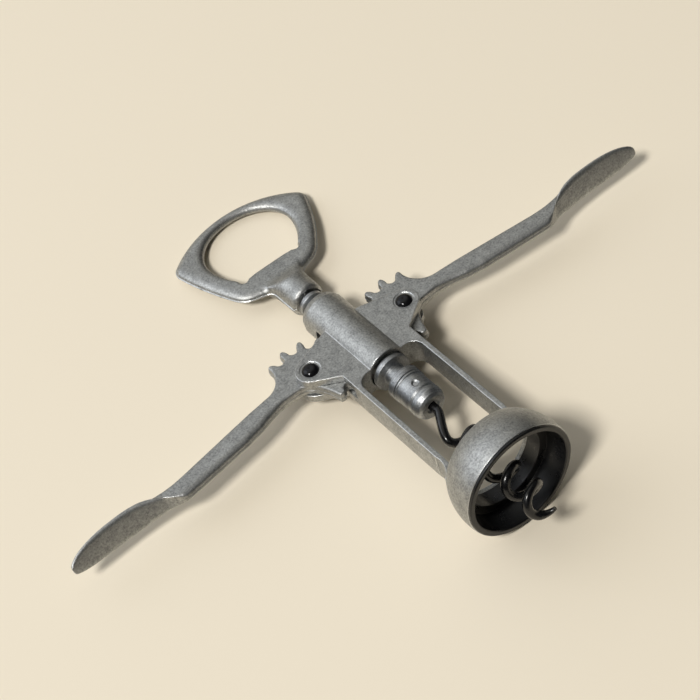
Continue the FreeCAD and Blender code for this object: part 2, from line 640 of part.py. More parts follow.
def swing_point(share):
    """Between the straight wire and the helix, keeping the direction of each at its end."""
    start = Vector(0, WORM_BEND, 0)
    end = worm_point(WORM_COIL_START)
    leave = AXIS * -WORM_LEAVE_PULL
    arrive = (worm_point(WORM_COIL_START - 0.01) - end).normalize() * WORM_ARRIVE_PULL
    rise = share * share * (3 - 2 * share)
    first = share * (1 - share) ** 2
    last = share * share * (share - 1)
    return start + (end - start) * rise + leave * first + arrive * last


def helix_points(high, low):
    """Points along the helix, twelve to a turn, from one place to the other."""
    count = max(4, round(12 * (high - low) / WORM_PITCH))
    return [worm_point(high + (low - high) * step / count) for step in range(count + 1)]


def bent_wire(points, end_radius):
    """A round wire along these points, thinning evenly from its full radius to end_radius."""
    path = Part.BSplineCurve()
    path.interpolate(points)
    sections = []
    for place, radius in ((path.FirstParameter, wire_radius), (path.LastParameter, end_radius)):
        heading = path.tangent(place)[0]
        sections.append(Part.Wire(Part.makeCircle(radius, path.value(place), heading)))
    if end_radius == wire_radius:
        sections.pop()
    return Part.Wire(path.toShape()).makePipeShell(sections, True, False)


def make_worm():
    """The wire comes straight out of the chuck, swings out to the helix and follows it."""
    steps = 6
    swing = [swing_point(step / steps) for step in range(steps)]
    point_start = WORM_TIP + WORM_POINT_REACH
    coil = bent_wire(swing + helix_points(WORM_COIL_START, point_start), wire_radius)
    point = bent_wire(helix_points(point_start, WORM_TIP), WORM_POINT_RADIUS)
    joint = Part.makeSphere(wire_radius, Vector(0, WORM_BEND, 0))
    overlap = Part.makeSphere(wire_radius, worm_point(point_start))
    spindle = rod(wire_radius, WORM_BEND, SPINDLE_TOP)
    worm = spindle.fuse([joint, coil, overlap, point])
    place = Vector(0, RACK_LOWER_END - END_PLAY - PIN_OFFSET, 0)
    pin_hole = Part.makeCylinder(PIN_RADIUS, 4 * CHUCK_RADIUS, place - FRONT * 2 * CHUCK_RADIUS)
    return worm.cut(pin_hole).removeSplitter()


# ---------------------------------------------------------------- assembly
def resting_place(shapes):
    """Lay the tool on the bell and the handle's far edge, centred over the origin."""
    round_place = HANDLE_TOP - HANDLE_EDGE_ROUND
    round_depth = HANDLE_DEPTH / 2 - HANDLE_EDGE_ROUND
    run = round_place - BELL_CENTRE
    lean = math.degrees(math.asin((BELL_RADIUS - HANDLE_EDGE_ROUND) / math.hypot(run, round_depth)))
    lean -= math.degrees(math.atan2(round_depth, run))
    tilt = Rotation(Vector(1, 0, 0), -lean)
    lift = BELL_RADIUS - tilt.multVec(Vector(0, BELL_CENTRE, 0)).z
    placement = Placement(Vector(0, 0, lift), tilt)
    spread = []
    for shape in shapes:
        posed = shape.copy()
        posed.Placement = placement.multiply(posed.Placement)
        box = posed.optimalBoundingBox(False, False)
        spread += [box.YMin, box.YMax]
    return Placement(Vector(0, -(min(spread) + max(spread)) / 2, lift), tilt)


def main():
    nodes = {
        "frame_casting": make_frame(),
        "bell_liner": make_liner(),
        "left_lever": make_lever(-1),
        "right_lever": make_lever(1),
        "left_rivet": make_rivet(-1),
        "right_rivet": make_rivet(1),
        "rack_sleeve": make_rack(),
        "opener_handle": make_handle(),
        "worm_chuck": make_chuck(),
        "chuck_pin": make_pin(),
        "worm": make_worm(),
    }
    placement = resting_place(nodes.values())
    os.makedirs("parts", exist_ok=True)
    for name, shape in nodes.items():
        shape.Placement = placement.multiply(shape.Placement)
        shape.exportStep(f"parts/{name}.step")
        print(name, len(shape.Solids), shape.isValid(), round(shape.Volume, 1))
    print("placement", placement.Base, placement.Rotation.toEuler())


main()
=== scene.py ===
"""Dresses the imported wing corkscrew: finishes, fine cast detail, floor, lamps and camera."""

import json
import math

import bmesh
import bpy
from bpy.props import FloatProperty, FloatVectorProperty, PointerProperty
from mathutils import Matrix, Vector
from mathutils.geometry import delaunay_2d_cdt
from mathutils.kdtree import KDTree


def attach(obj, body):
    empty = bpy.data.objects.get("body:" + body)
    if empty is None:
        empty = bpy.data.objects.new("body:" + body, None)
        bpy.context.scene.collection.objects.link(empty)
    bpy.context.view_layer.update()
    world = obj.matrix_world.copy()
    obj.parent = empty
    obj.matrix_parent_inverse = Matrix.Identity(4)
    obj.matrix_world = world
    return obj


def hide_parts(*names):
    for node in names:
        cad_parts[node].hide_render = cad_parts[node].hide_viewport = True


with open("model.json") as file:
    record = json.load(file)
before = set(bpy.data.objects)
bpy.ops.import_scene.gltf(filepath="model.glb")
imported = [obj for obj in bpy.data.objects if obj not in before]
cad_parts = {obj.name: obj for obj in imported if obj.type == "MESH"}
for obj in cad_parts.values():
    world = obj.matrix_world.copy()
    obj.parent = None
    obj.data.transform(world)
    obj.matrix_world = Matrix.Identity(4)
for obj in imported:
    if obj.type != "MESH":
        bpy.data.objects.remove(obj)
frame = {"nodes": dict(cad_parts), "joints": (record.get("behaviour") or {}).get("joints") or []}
NODES = frame["nodes"]
JOINTS = {joint["name"]: joint for joint in frame["joints"]}
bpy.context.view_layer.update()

bl_info = {
    "name": "Wing corkscrew finishes",
    "version": (1, 0, 0),
    "blender": (4, 5, 0),
    "location": "View3D > Sidebar > Corkscrew",
    "description": "Gives a wing corkscrew its cast zinc, black plastic and coated steel",
    "category": "Object",
}

MM = 0.001
# the parts of 0 to 1 and of 0 to 2 that one noise and the sum of two fill
ONE_NOISE = {"From Min": 0.35, "From Max": 0.65}
TWO_NOISES = {"From Min": 0.75, "From Max": 1.25}
BEVEL_SAMPLES = 6
# materials already made, by the function that makes them
FINISHES = {}


# ---------------------------------------- the tool's own axes
def tool_axes():
    """X towards the right lever, Y towards the handle, Z out of the front, from the joints."""
    left = Vector(JOINTS["left_wing_hinge"]["pos_m"])
    right = Vector(JOINTS["right_wing_hinge"]["pos_m"])
    across = (right - left).normalized()
    along = Vector(JOINTS["shaft_slide"]["axis"]).normalized()
    front = across.cross(along)
    axes = Matrix((across, along, front)).transposed().to_4x4()
    axes.translation = (left + right) / 2
    return axes


TOOL = tool_axes()


# ---------------------------------------- colours and nodes
def linear(hex_colour):
    """An sRGB hex colour such as "#a8a49c" as linear red, green, blue and alpha."""
    digits = hex_colour.lstrip("#")
    channels = []
    for start in (0, 2, 4):
        value = int(digits[start:start + 2], 16) / 255
        channels.append(value / 12.92 if value <= 0.04045 else ((value + 0.055) / 1.055) ** 2.4)
    return (*channels, 1.0)


def add_node(tree, kind, inputs=None, **settings):
    """Adds a node with its settings; an input is given a value or is linked to a socket."""
    made = tree.nodes.new(kind)
    for name, value in settings.items():
        setattr(made, name, value)
    for name, value in (inputs or {}).items():
        if isinstance(value, bpy.types.NodeSocket):
            tree.links.new(value, made.inputs[name])
        else:
            made.inputs[name].default_value = value
    return made


def new_material(name):
    """An empty node material, its tree and the place on the object that patterns lie by."""
    material = bpy.data.materials.new(name)
    material.use_nodes = True
    tree = material.node_tree
    tree.nodes.clear()
    return material, tree, add_node(tree, "ShaderNodeTexCoord").outputs["Object"]


def two_tones(tint, dark, light):
    """Sets both ends of a colour ramp."""
    for element, tone in zip(tint.color_ramp.elements, (dark, light)):
        element.color = (*tone, 1.0)


def scale_of(millimetres):
    """Texture scale at which one feature of a pattern is this wide."""
    return 1.0 / (millimetres * MM)


# ---------------------------------------- finishes
def tumbled_cast_zinc(finish):
    """Zinc alloy, die cast and then tumbled: satin pewter grey with a fine mottled skin.

    Tumbling in stones dulls the flats, peens them with tiny dents, and rubs the edges brighter.
    The lighter edge colour is partly that wear and partly a painted highlight along every edge.
    """
    material, tree, place = new_material("tumbled_cast_zinc")
    # tumbling dents are about 0.2 mm across; drawn at 0.6 mm so that they show at this size
    dents = add_node(tree, "ShaderNodeTexNoise", {
        "Vector": place, "Scale": scale_of(finish.dent_width), "Detail": 2.5, "Roughness": 0.65})
    # the casting skin cools in faint patches a few millimetres across
    patches = add_node(tree, "ShaderNodeTexNoise", {
        "Vector": place, "Scale": scale_of(finish.patch_width), "Detail": 2.0, "Roughness": 0.5})
    faint = add_node(tree, "ShaderNodeMapRange", {
        "Value": patches.outputs["Fac"], "To Min": 0.5 - finish.patch_share,
        "To Max": 0.5 + finish.patch_share})
    tone = add_node(tree, "ShaderNodeMath", {
        0: dents.outputs["Fac"], 1: faint.outputs[0]}, operation="ADD")
    spread = add_node(tree, "ShaderNodeMapRange", {"Value": tone.outputs[0], **TWO_NOISES})
    tint = add_node(tree, "ShaderNodeValToRGB", {"Fac": spread.outputs[0]})
    two_tones(tint, finish.zinc_dark, finish.zinc_light)
    # edges that the stones rubbed, given a lighter colour that is partly that wear and partly a
    # painted
    # highlight along every edge: where a rounded normal turns away from the true one, so that the
    # cosine of the angle between them falls below 1
    rounded = add_node(tree, "ShaderNodeBevel", {
        "Radius": finish.edge_round * MM}, samples=BEVEL_SAMPLES)
    true_normal = add_node(tree, "ShaderNodeNewGeometry").outputs["Normal"]
    agree = add_node(tree, "ShaderNodeVectorMath", {
        0: rounded.outputs[0], 1: true_normal}, operation="DOT_PRODUCT")
    rubbed_and_highlit = add_node(tree, "ShaderNodeMapRange", {
        "Value": agree.outputs["Value"], "From Min": 0.995, "From Max": 0.90})
    # a mix node's sockets share their names, so they go by number: 0 is the factor, 2 and 3 are
    # its numbers, and 6 and 7 are its colours
    # edges take the lighter colour: rubbing wear plus a painted edge highlight
    colour = add_node(tree, "ShaderNodeMix", {
        0: rubbed_and_highlit.outputs[0], 6: tint.outputs[0], 7: (*finish.zinc_rubbed_and_highlit, 1.0)}, data_type="RGBA")
    # dull skin is the roughest, clear skin less so and a rubbed edge least
    matt = add_node(tree, "ShaderNodeMapRange", {
        "Value": tone.outputs[0], **TWO_NOISES, "To Min": finish.zinc_roughness + 0.07,
        "To Max": finish.zinc_roughness - 0.05})
    rough = add_node(tree, "ShaderNodeMix", {
        0: rubbed_and_highlit.outputs[0], 2: matt.outputs[0], 3: finish.zinc_roughness - 0.14}, data_type="FLOAT")
    bump = add_node(tree, "ShaderNodeBump", {
        "Height": dents.outputs["Fac"], "Strength": finish.dent_strength, "Distance": 0.12 * MM,
        "Normal": rounded.outputs[0]})
    shader = add_node(tree, "ShaderNodeBsdfPrincipled", {
        "Base Color": colour.outputs[2], "Metallic": 1.0, "Roughness": rough.outputs[0],
        "Normal": bump.outputs[0]})
    add_node(tree, "ShaderNodeOutputMaterial", {"Surface": shader.outputs[0]})
    return material


def turned_zinc(finish):
    """Zinc turned on a lathe: the ring teeth and the chuck, brighter, with fine tool lines."""
    material, tree, place = new_material("turned_zinc")
    grain = add_node(tree, "ShaderNodeTexNoise", {
        "Vector": place, "Scale": scale_of(finish.dent_width), "Detail": 3.0, "Roughness": 0.6})
    # tool lines round the axis, 0.15 mm apart on the lathe and drawn at 0.5 mm to show
    stretched = add_node(tree, "ShaderNodeMapping", {
        "Vector": place, "Scale": (0.02, 1.0, 0.02)}, vector_type="POINT")
    lines = add_node(tree, "ShaderNodeTexNoise", {
        "Vector": stretched.outputs[0], "Scale": scale_of(0.5), "Detail": 2.0})
    both = add_node(tree, "ShaderNodeMath", {
        0: grain.outputs["Fac"], 1: lines.outputs["Fac"]}, operation="ADD")
    spread = add_node(tree, "ShaderNodeMapRange", {"Value": both.outputs[0], **TWO_NOISES})
    tint = add_node(tree, "ShaderNodeValToRGB", {"Fac": spread.outputs[0]})
    two_tones(tint, finish.turned_dull, finish.turned_clear)
    matt = add_node(tree, "ShaderNodeMapRange", {
        "Value": both.outputs[0], **TWO_NOISES, "To Min": finish.turned_roughness + 0.06,
        "To Max": finish.turned_roughness - 0.05})
    rounded = add_node(tree, "ShaderNodeBevel", {
        "Radius": finish.edge_round * MM}, samples=BEVEL_SAMPLES)
    bump = add_node(tree, "ShaderNodeBump", {
        "Height": both.outputs[0], "Strength": finish.dent_strength, "Distance": 0.1 * MM,
        "Normal": rounded.outputs[0]})
    shader = add_node(tree, "ShaderNodeBsdfPrincipled", {
        "Base Color": tint.outputs[0], "Metallic": 1.0, "Roughness": matt.outputs[0],
        "Normal": bump.outputs[0]})
    add_node(tree, "ShaderNodeOutputMaterial", {"Surface": shader.outputs[0]})
    return material


def moulded_black_plastic(finish):
    """Polypropylene, injection moulded: a near-black soft gloss with a faint orange-peel skin."""
    material, tree, place = new_material("moulded_black_polypropylene")
    # orange peel from the mould, about 1.5 mm from crest to crest
    peel = add_node(tree, "ShaderNodeTexNoise", {
        "Vector": place, "Scale": scale_of(1.5), "Detail": 2.0, "Roughness": 0.5})
    scuffs = add_node(tree, "ShaderNodeTexNoise", {
        "Vector": place, "Scale": scale_of(4.0), "Detail": 5.0, "Roughness": 0.7})
    matt = add_node(tree, "ShaderNodeMapRange", {
        "Value": scuffs.outputs["Fac"], **ONE_NOISE, "To Min": finish.plastic_roughness - 0.06,
        "To Max": finish.plastic_roughness + 0.1})
    tint = add_node(tree, "ShaderNodeValToRGB", {"Fac": scuffs.outputs["Fac"]})
    two_tones(tint, linear("#070708")[:3], finish.black_plastic)
    rounded = add_node(tree, "ShaderNodeBevel", {"Radius": 0.25 * MM}, samples=BEVEL_SAMPLES)
    bump = add_node(tree, "ShaderNodeBump", {
        "Height": peel.outputs["Fac"], "Strength": 0.25, "Distance": 0.04 * MM,
        "Normal": rounded.outputs[0]})
    shader = add_node(tree, "ShaderNodeBsdfPrincipled", {
        "Base Color": tint.outputs[0], "Roughness": matt.outputs[0], "IOR": 1.49,
        "Normal": bump.outputs[0]})
    add_node(tree, "ShaderNodeOutputMaterial", {"Surface": shader.outputs[0]})
    return material


def one_pattern(name, noise, tones, roughness, relief, surface):
    """A material whose tone, gloss and relief all follow one noise.

    The noise is its width in millimetres, detail and roughness, and the relief is its strength
    and its depth in millimetres.
    """
    material, tree, place = new_material(name)
    width, detail, grain = noise
    pattern = add_node(tree, "ShaderNodeTexNoise", {
        "Vector": place, "Scale": scale_of(width), "Detail": detail,
        "Roughness": grain}).outputs["Fac"]
    matt = add_node(tree, "ShaderNodeMapRange", {
        "Value": pattern, **ONE_NOISE, "To Min": roughness[0], "To Max": roughness[1]})
    tint = add_node(tree, "ShaderNodeValToRGB", {"Fac": pattern})
    two_tones(tint, *tones)
    strength, depth = relief
    bump = add_node(tree, "ShaderNodeBump", {
        "Height": pattern, "Strength": strength, "Distance": depth * MM})
    shader = add_node(tree, "ShaderNodeBsdfPrincipled", {
        "Base Color": tint.outputs[0], "Roughness": matt.outputs[0], "Normal": bump.outputs[0],
        **surface})
    add_node(tree, "ShaderNodeOutputMaterial", {"Surface": shader.outputs[0]})
    return material


def coated_worm_steel(finish):
    """Steel wire dipped in black non-stick coating: deep black with a wet-looking gloss."""
    rough = finish.coating_roughness
    # the coating pools and thins in waves a millimetre or two long
    return one_pattern(
        "black_coated_steel_wire", noise=(1.8, 3.0, 0.55),
        tones=(linear("#070708")[:3], finish.black_coating),
        roughness=(rough - 0.05, rough + 0.08), relief=(0.3, 0.05),
        surface={"IOR": 1.38, "Coat Weight": 0.35, "Coat Roughness": 0.15})


def blackened_rivet_steel(finish):
    """Steel, headed cold and blackened: a mirror-dark dome with faint wear on its crown."""
    # wear shows as specks about half a millimetre wide
    return one_pattern(
        "blackened_steel", noise=(0.6, 4.0, 0.6),
        tones=(linear("#141416")[:3], finish.black_steel), roughness=(0.12, 0.22),
        relief=(0.15, 0.03), surface={"Metallic": 0.6})


def drawn_pin_steel(finish):
    """Steel pin cut from drawn wire: bright, with a slightly torn, duller end."""
    # the torn end's grain is about 0.4 mm wide
    return one_pattern(
        "drawn_steel_pin", noise=(0.4, 3.0, 0.6),
        tones=(linear("#8f9092")[:3], finish.pin_steel), roughness=(0.22, 0.36),
        relief=(0.3, 0.04), surface={"Metallic": 1.0})


def painted_board(studio):
    """Painted table board: plain, pale and matt."""
    material, tree, place = new_material("painted_board")
    # roller stipple of about 1 mm
    stipple = add_node(tree, "ShaderNodeTexNoise", {
        "Vector": place, "Scale": scale_of(1.0), "Detail": 2.0})
    bump = add_node(tree, "ShaderNodeBump", {
        "Height": stipple.outputs["Fac"], "Strength": 0.1, "Distance": 0.02 * MM})
    shader = add_node(tree, "ShaderNodeBsdfPrincipled", {
        "Base Color": (*studio.floor_colour, 1.0), "Roughness": 0.8, "IOR": 1.45,
        "Normal": bump.outputs[0]})
    add_node(tree, "ShaderNodeOutputMaterial", {"Surface": shader.outputs[0]})
    return material


def shared_finish(make, context):
    """Makes a finish once and hands the same material to every piece that has it."""
    if make.__name__ not in FINISHES:
        FINISHES[make.__name__] = make(context.scene.corkscrew_finish)
    return FINISHES[make.__name__]


def dress(node_name, make, context):
    """Gives a solid of the frame its finish."""
    slots = NODES[node_name].data.materials
    slots.clear()
    slots.append(shared_finish(make, context))


# ---------------------------------------- what a user would change
def colour_property(name, hex_colour, description):
    """A colour, given as sRGB hex and kept as linear."""
    return FloatVectorProperty(name=name, description=description, subtype="COLOR", size=3,
                               min=0.0, max=1.0, default=linear(hex_colour)[:3])


def size_property(name, millimetres, description, **limits):
    """A length in millimetres."""
    return FloatProperty(name=name, description=description + ", in millimetres",
                         default=millimetres, **limits)


def share_property(name, share, description, most=1.0):
    """A number from 0 to at most 1."""
    return FloatProperty(name=name, description=description, subtype="FACTOR",
                         default=share, min=0.0, max=most)


class CorkscrewFinish(bpy.types.PropertyGroup):
    """Colours and surface of the tool."""

    zinc_dark: colour_property("Zinc, dull", "#868787", "Cast zinc where the skin is dullest")
    zinc_light: colour_property("Zinc, clear", "#c1c2c1", "Cast zinc where the skin is clearest")
    # lighter edge colour: partly rubbed by tumbling, partly a painted highlight along the edges
    zinc_rubbed_and_highlit: colour_property("Zinc, rubbed", "#e0e2e3", "Edges and teeth rubbed bright")
    turned_dull: colour_property("Turned zinc, dull", "#85878a", "Valleys of the tool lines")
    turned_clear: colour_property("Turned zinc, clear", "#babcbd", "Crests of the tool lines")
    zinc_roughness: share_property("Zinc roughness", 0.46, "Satin of the tumbled castings")
    turned_roughness: share_property(
        "Turned roughness", 0.44, "Satin of the turned sleeve and chuck")
    dent_width: size_property(
        "Dent width", 0.6, "Width of a tumbling dent as it is drawn", min=0.05, max=3.0)
    dent_strength: share_property("Dent strength", 0.85, "How strongly the dents catch the light")
    patch_width: size_property(
        "Patch width", 3.0, "Width of a patch of casting skin", min=0.5, max=20.0)
    patch_share: share_property(
        "Patch share", 0.2, "How strongly the patches of skin show", most=0.5)
    edge_round: size_property(
        "Edge round", 0.42, "Radius that tumbling left on edges", min=0.0, max=2.0)
    black_plastic: colour_property("Black plastic", "#121213", "Moulded liner of the bell")
    plastic_roughness: share_property("Plastic roughness", 0.3, "Soft gloss of the liner")
    black_coating: colour_property("Worm coating", "#161617", "Non-stick coating on the worm")
    coating_roughness: share_property("Coating roughness", 0.24, "Gloss of the worm's coating")
    black_steel: colour_property("Rivet black", "#2a2a2c", "Blackened rivets")
    pin_steel: colour_property("Pin steel", "#c9cacb", "Cross pin of the chuck")


class CorkscrewHandle(bpy.types.PropertyGroup):
    """Sizes of the crowned opener handle. Places count from the line through both rivets."""

    half_depth: size_property("Half depth", 1.8, "Half the thickness of the head", min=0.5, max=4.0)
    edge_width: size_property(
        "Edge crown", 3.3, "How far in from the outline the crown reaches", min=0.5, max=8.0)
    mouth_edge_width: size_property(
        "Mouth crown", 2.7, "How far in from the mouth the crown reaches", min=0.5, max=8.0)
    lip_edge_width: size_property(
        "Lip crown", 0.9, "How far in from the sharper lip it reaches", min=0.2, max=4.0)
    ridge_proud: size_property(
        "Ridge", 0.26, "How far the parting ridge stands out of the edge", min=0.0, max=1.0)
    ridge_half: size_property(
        "Ridge half width", 0.15, "Half the width of the parting ridge", min=0.02, max=1.0)
    neck_radius: size_property("Neck radius", 5.9, "Radius of the neck over its ridges", min=1.0)
    neck_low: size_property("Neck end", 26.0, "Place of the neck's end")
    end_round: size_property(
        "Neck end round", 0.9, "How far the neck's end is rounded over", min=0.0, max=2.0)
    head_lean: FloatProperty(
        name="Head lean", min=-0.2, max=0.2, default=0.085,
        description="How far the head leans for each millimetre outwards")
    head_turn: FloatProperty(
        name="Head turn", min=-0.2, max=0.2, default=0.066,
        description="How far its sides rise and fall for each millimetre across")
    lean_from: size_property("Lean start", 42.0, "Place where the head starts to lean")
    bore_reach: size_property("Bore reach", 36.0, "Place up to which the barrel's bore can come")
    web_place: size_property("Web start", 33.2, "Place where the neck begins to flatten")
    web_length: size_property(
        "Web length", 8.2, "How soon the neck runs out into the flat head", min=1.0)
    web_half_width: size_property(
        "Web half width", 8.0, "Half width of the web where it ends", min=1.0)
    lip_place: size_property("Lip", 47.2, "Place of the straight lip")


class CorkscrewLever(bpy.types.PropertyGroup):
    """Sizes of the rounded levers. Places count from the rivet outwards."""

    angle: FloatProperty(
        name="Angle", description="How the levers lie at rest", subtype="ANGLE",
        default=math.radians(-2.3))
    half_depth: size_property(
        "Half depth", 2.0, "Half the thickness of the shank", min=0.5, max=4.0)
    top_edge_width: size_property(
        "Upper edge", 0.55, "How far in the teeth and the upper edge are rounded", min=0.1, max=4.0)
    belly_edge_width: size_property(
        "Lower edge", 1.7, "How far in the lower edge is rounded", min=0.1, max=6.0)
    belly_swell: size_property(
        "Belly", 1.9, "How far the rounded lower edge stands out", min=0.0, max=3.0)
    top_swell: size_property("Back", 0.6, "How far the upper edge stands out", min=0.0, max=3.0)
    ridge_proud: size_property(
        "Ridge", 0.1, "How far the parting ridge stands out of the edge", min=0.0, max=1.0)
    ridge_half: size_property(
        "Ridge half width", 0.1, "Half the width of the parting ridge", min=0.02, max=1.0)
    shank_end: size_property(
        "Shank end", 50.0, "Place where the shank starts to turn into the leaf")
    length: size_property("Length", 91.3, "Place of the leaf's tip")
    turn_length: size_property(
        "Turn", 9.0, "How much later the upper edge turns into the leaf", min=0.0)
    leaf_half_width: size_property(
        "Leaf half width", 3.8, "Half the leaf from front to back", min=1.0)
    leaf_thinning: share_property(
        "Leaf thinning", 0.5, "Share of its thickness that the leaf gives up", most=0.9)
    leaf_lean: FloatProperty(
        name="Leaf lean", min=-1.0, max=1.0, default=0.42,
        description="How far the leaf leans for each millimetre of width")


class CorkscrewStudio(bpy.types.PropertyGroup):
    """Floor, lamps and camera."""

    floor_colour: colour_property("Floor", "#efe4d0", "Plain pale floor")
    floor_width: FloatProperty(
        name="Floor width", description="Side of the square floor", default=60.0, min=0.5,
        unit="LENGTH")
    key_power: FloatProperty(
        name="Key lamp", default=275.0, min=0.0, unit="POWER",
        description="Soft lamp high on the left, which throws the shadows")
    window_power: FloatProperty(
        name="Window lamp", default=5.2, min=0.0, unit="POWER",
        description="Large pale lamp, lower and beyond the left lever")
    sky_strength: FloatProperty(
        name="Room light", default=0.86, min=0.0,
        description="Strength of the light that the room itself gives")
    lens: FloatProperty(
        name="Lens", description="Focal length of the camera", default=105.93, min=10.0,
        unit="CAMERA")


# ---------------------------------------- stage helpers
def square_floor(width):
    """A flat board, so wide that its edge lies beyond every view of the tool."""
    mesh = bpy.data.meshes.new("floor")
    build = bmesh.new()
    bmesh.ops.create_grid(build, x_segments=8, y_segments=8, size=width / 2)
    build.to_mesh(mesh)
    build.free()
    floor = bpy.data.objects.new("floor", mesh)
    bpy.context.scene.collection.objects.link(floor)
    return floor


def soft_lamp(name, heading, distance, side, power, colour):
    """A square softbox that looks at the tool from this direction."""
    data = bpy.data.lights.new(name, "AREA")
    data.shape = "SQUARE"
    data.size = side
    data.energy = power
    data.color = linear(colour)[:3]
    lamp = bpy.data.objects.new(name, data)
    toward = Vector(heading).normalized()
    lamp.location = TOOL.translation + toward * distance
    lamp.rotation_mode = "QUATERNION"
    lamp.rotation_quaternion = toward.to_track_quat("Z", "Y")
    bpy.context.scene.collection.objects.link(lamp)
    return lamp


def room_light(strength):
    """A dark room that grows pale high up beyond the handle."""
    world = bpy.data.worlds.new("room")
    bpy.context.scene.world = world
    world.use_nodes = True
    tree = world.node_tree
    tree.nodes.clear()
    heading = add_node(tree, "ShaderNodeTexCoord").outputs["Generated"]
    pale_heading = (-0.06, 0.70, 0.71)
    side = add_node(tree, "ShaderNodeVectorMath", {
        0: heading, 1: pale_heading}, operation="DOT_PRODUCT")
    # the cosine of the angle from the palest place: dark from 56 degrees on
    share = add_node(tree, "ShaderNodeMapRange", {
        "Value": side.outputs["Value"], "From Min": 0.56, "From Max": 1.0})
    tint = add_node(tree, "ShaderNodeValToRGB", {"Fac": share.outputs[0]})
    tint.color_ramp.elements[0].color = linear("#1e2227")
    tint.color_ramp.elements[1].color = linear("#f3f8ff")
    middle = tint.color_ramp.elements.new(0.72)
    middle.color = linear("#d8d4c8")
    back = add_node(tree, "ShaderNodeBackground", {"Color": tint.outputs[0], "Strength": strength})
    add_node(tree, "ShaderNodeOutputWorld", {"Surface": back.outputs[0]})


def table_camera(lens):
    """Looks down on the lying tool from the lower left of its front."""
    data = bpy.data.cameras.new("camera")
    data.lens = lens
    data.sensor_width = 36.0
    data.clip_start = 0.01
    camera = bpy.data.objects.new("camera", data)
    # its axes and its place, in the tool's own axes and in metres
    right = Vector((0.77007038, -0.60350274, -0.2068237))
    up = Vector((0.57613884, 0.51866554, 0.63170412))
    back = Vector((-0.27396284, -0.6056158, 0.74711034))
    place = Vector((-0.17321687, -0.37440146, 0.46285217))
    turn = Matrix((right, up, back)).transposed().to_4x4()
    camera.matrix_world = TOOL @ Matrix.Translation(place) @ turn
    bpy.context.scene.collection.objects.link(camera)
    bpy.context.scene.camera = camera


# ---------------------------------------- rounded castings
# This part works in the tool's own axes and in millimetres.
MERGE = 1e-4         # points of a solid's mesh that are closer are one point
OUTLINE_GAP = 0.03   # least distance between points of an outline taken from a solid
BORDER_STEP = 0.4    # between points of an outline that become vertices
DENSE_STEP = 0.08    # between points of an outline that distances are measured to
NEAR_BORDER = 0.5    # closer to the outline, the side of it is found by counting crossings
PLAN_ERROR = 1e-5    # allowed in the flat triangulation
NOT_ZERO = 0.01      # added to a width that something is divided by
CROWN_POWER = 2.2    # 2 rounds an edge like a circle, and more makes it squarer
SHARP_ANGLE = math.radians(48)


def right_rivet():
    """Centre of the right rivet, where the right lever's own axes start."""
    return TOOL.inverted() @ Vector(JOINTS["right_wing_hinge"]["pos_m"]) / MM


def parting_loops(node_name):
    """Closed outlines of a casting on the plane where its mould halves met."""
    cut = bmesh.new()
    cut.from_mesh(NODES[node_name].data)
    cut.transform(Matrix.Scale(1.0 / MM, 4) @ TOOL.inverted())
    bmesh.ops.remove_doubles(cut, verts=cut.verts, dist=MERGE)
    bmesh.ops.bisect_plane(cut, geom=cut.verts[:] + cut.edges[:] + cut.faces[:], dist=MERGE,
                           plane_co=(0, 0, 0), plane_no=(0, 0, 1),
                           clear_outer=True, clear_inner=True)
    loops = []
    used = set()
    for start in cut.verts:
        loop = []
        here = None if start in used else start
        while here is not None:
            used.add(here)
            place = Vector((here.co.x, here.co.y))
            if not loop or (place - loop[-1]).length > OUTLINE_GAP:
                loop.append(place)
            around = [edge.other_vert(here) for edge in here.link_edges]
            here = next((vertex for vertex in around if vertex not in used), None)
        if len(loop) > 2:
            loops.append(loop)
    cut.free()
    return loops


def signed_area(loop):
    """Positive where the loop runs anticlockwise."""
    ahead = loop[1:] + loop[:1]
    return sum(here.x * after.y - after.x * here.y for here, after in zip(loop, ahead)) / 2


def largest_first(loops):
    """The outline first, and the holes after it."""
    return sorted(loops, key=lambda loop: -abs(signed_area(loop)))


def finely(loop, step):
    """The same loop with its long runs divided."""
    points = []
    for here, after in zip(loop, loop[1:] + loop[:1]):
        count = max(1, round((after - here).length / step))
        points += [here.lerp(after, number / count) for number in range(count)]
    return points


def inward(loop):
    """Unit directions into the metal, which lies to the left of each loop."""
    directions = []
    for before, after in zip(loop[-1:] + loop[:-1], loop[1:] + loop[:1]):
        run = (after - before).normalized()
        directions.append(Vector((-run.y, run.x)))
    return directions


def tree_of(points):
    """A search tree over flat points."""
    tree = KDTree(len(points))
    for number, point in enumerate(points):
        tree.insert((point.x, point.y, 0.0), number)
    tree.balance()
    return tree


def away(tree, point):
    """Distance from a point to the nearest one in the tree."""
    return tree.find((point.x, point.y, 0.0))[2]


def crown(distance, width):
    """From 0 at an edge to 1 where the flat begins, steep first: a quarter of a rounded bar."""
    left = 1.0 - min(max(distance, 0.0) / width, 1.0)
    return (1.0 - left ** CROWN_POWER) ** (1.0 / CROWN_POWER)


def ramp(value, start, end):
    """From 0 at the start to 1 at the end, and level beyond both."""
    return min(max((value - start) / (end - start), 0.0), 1.0)


def eased(share):
    """The same share, but leaving 0 and reaching 1 without a corner."""
    return share * share * (3 - 2 * share)


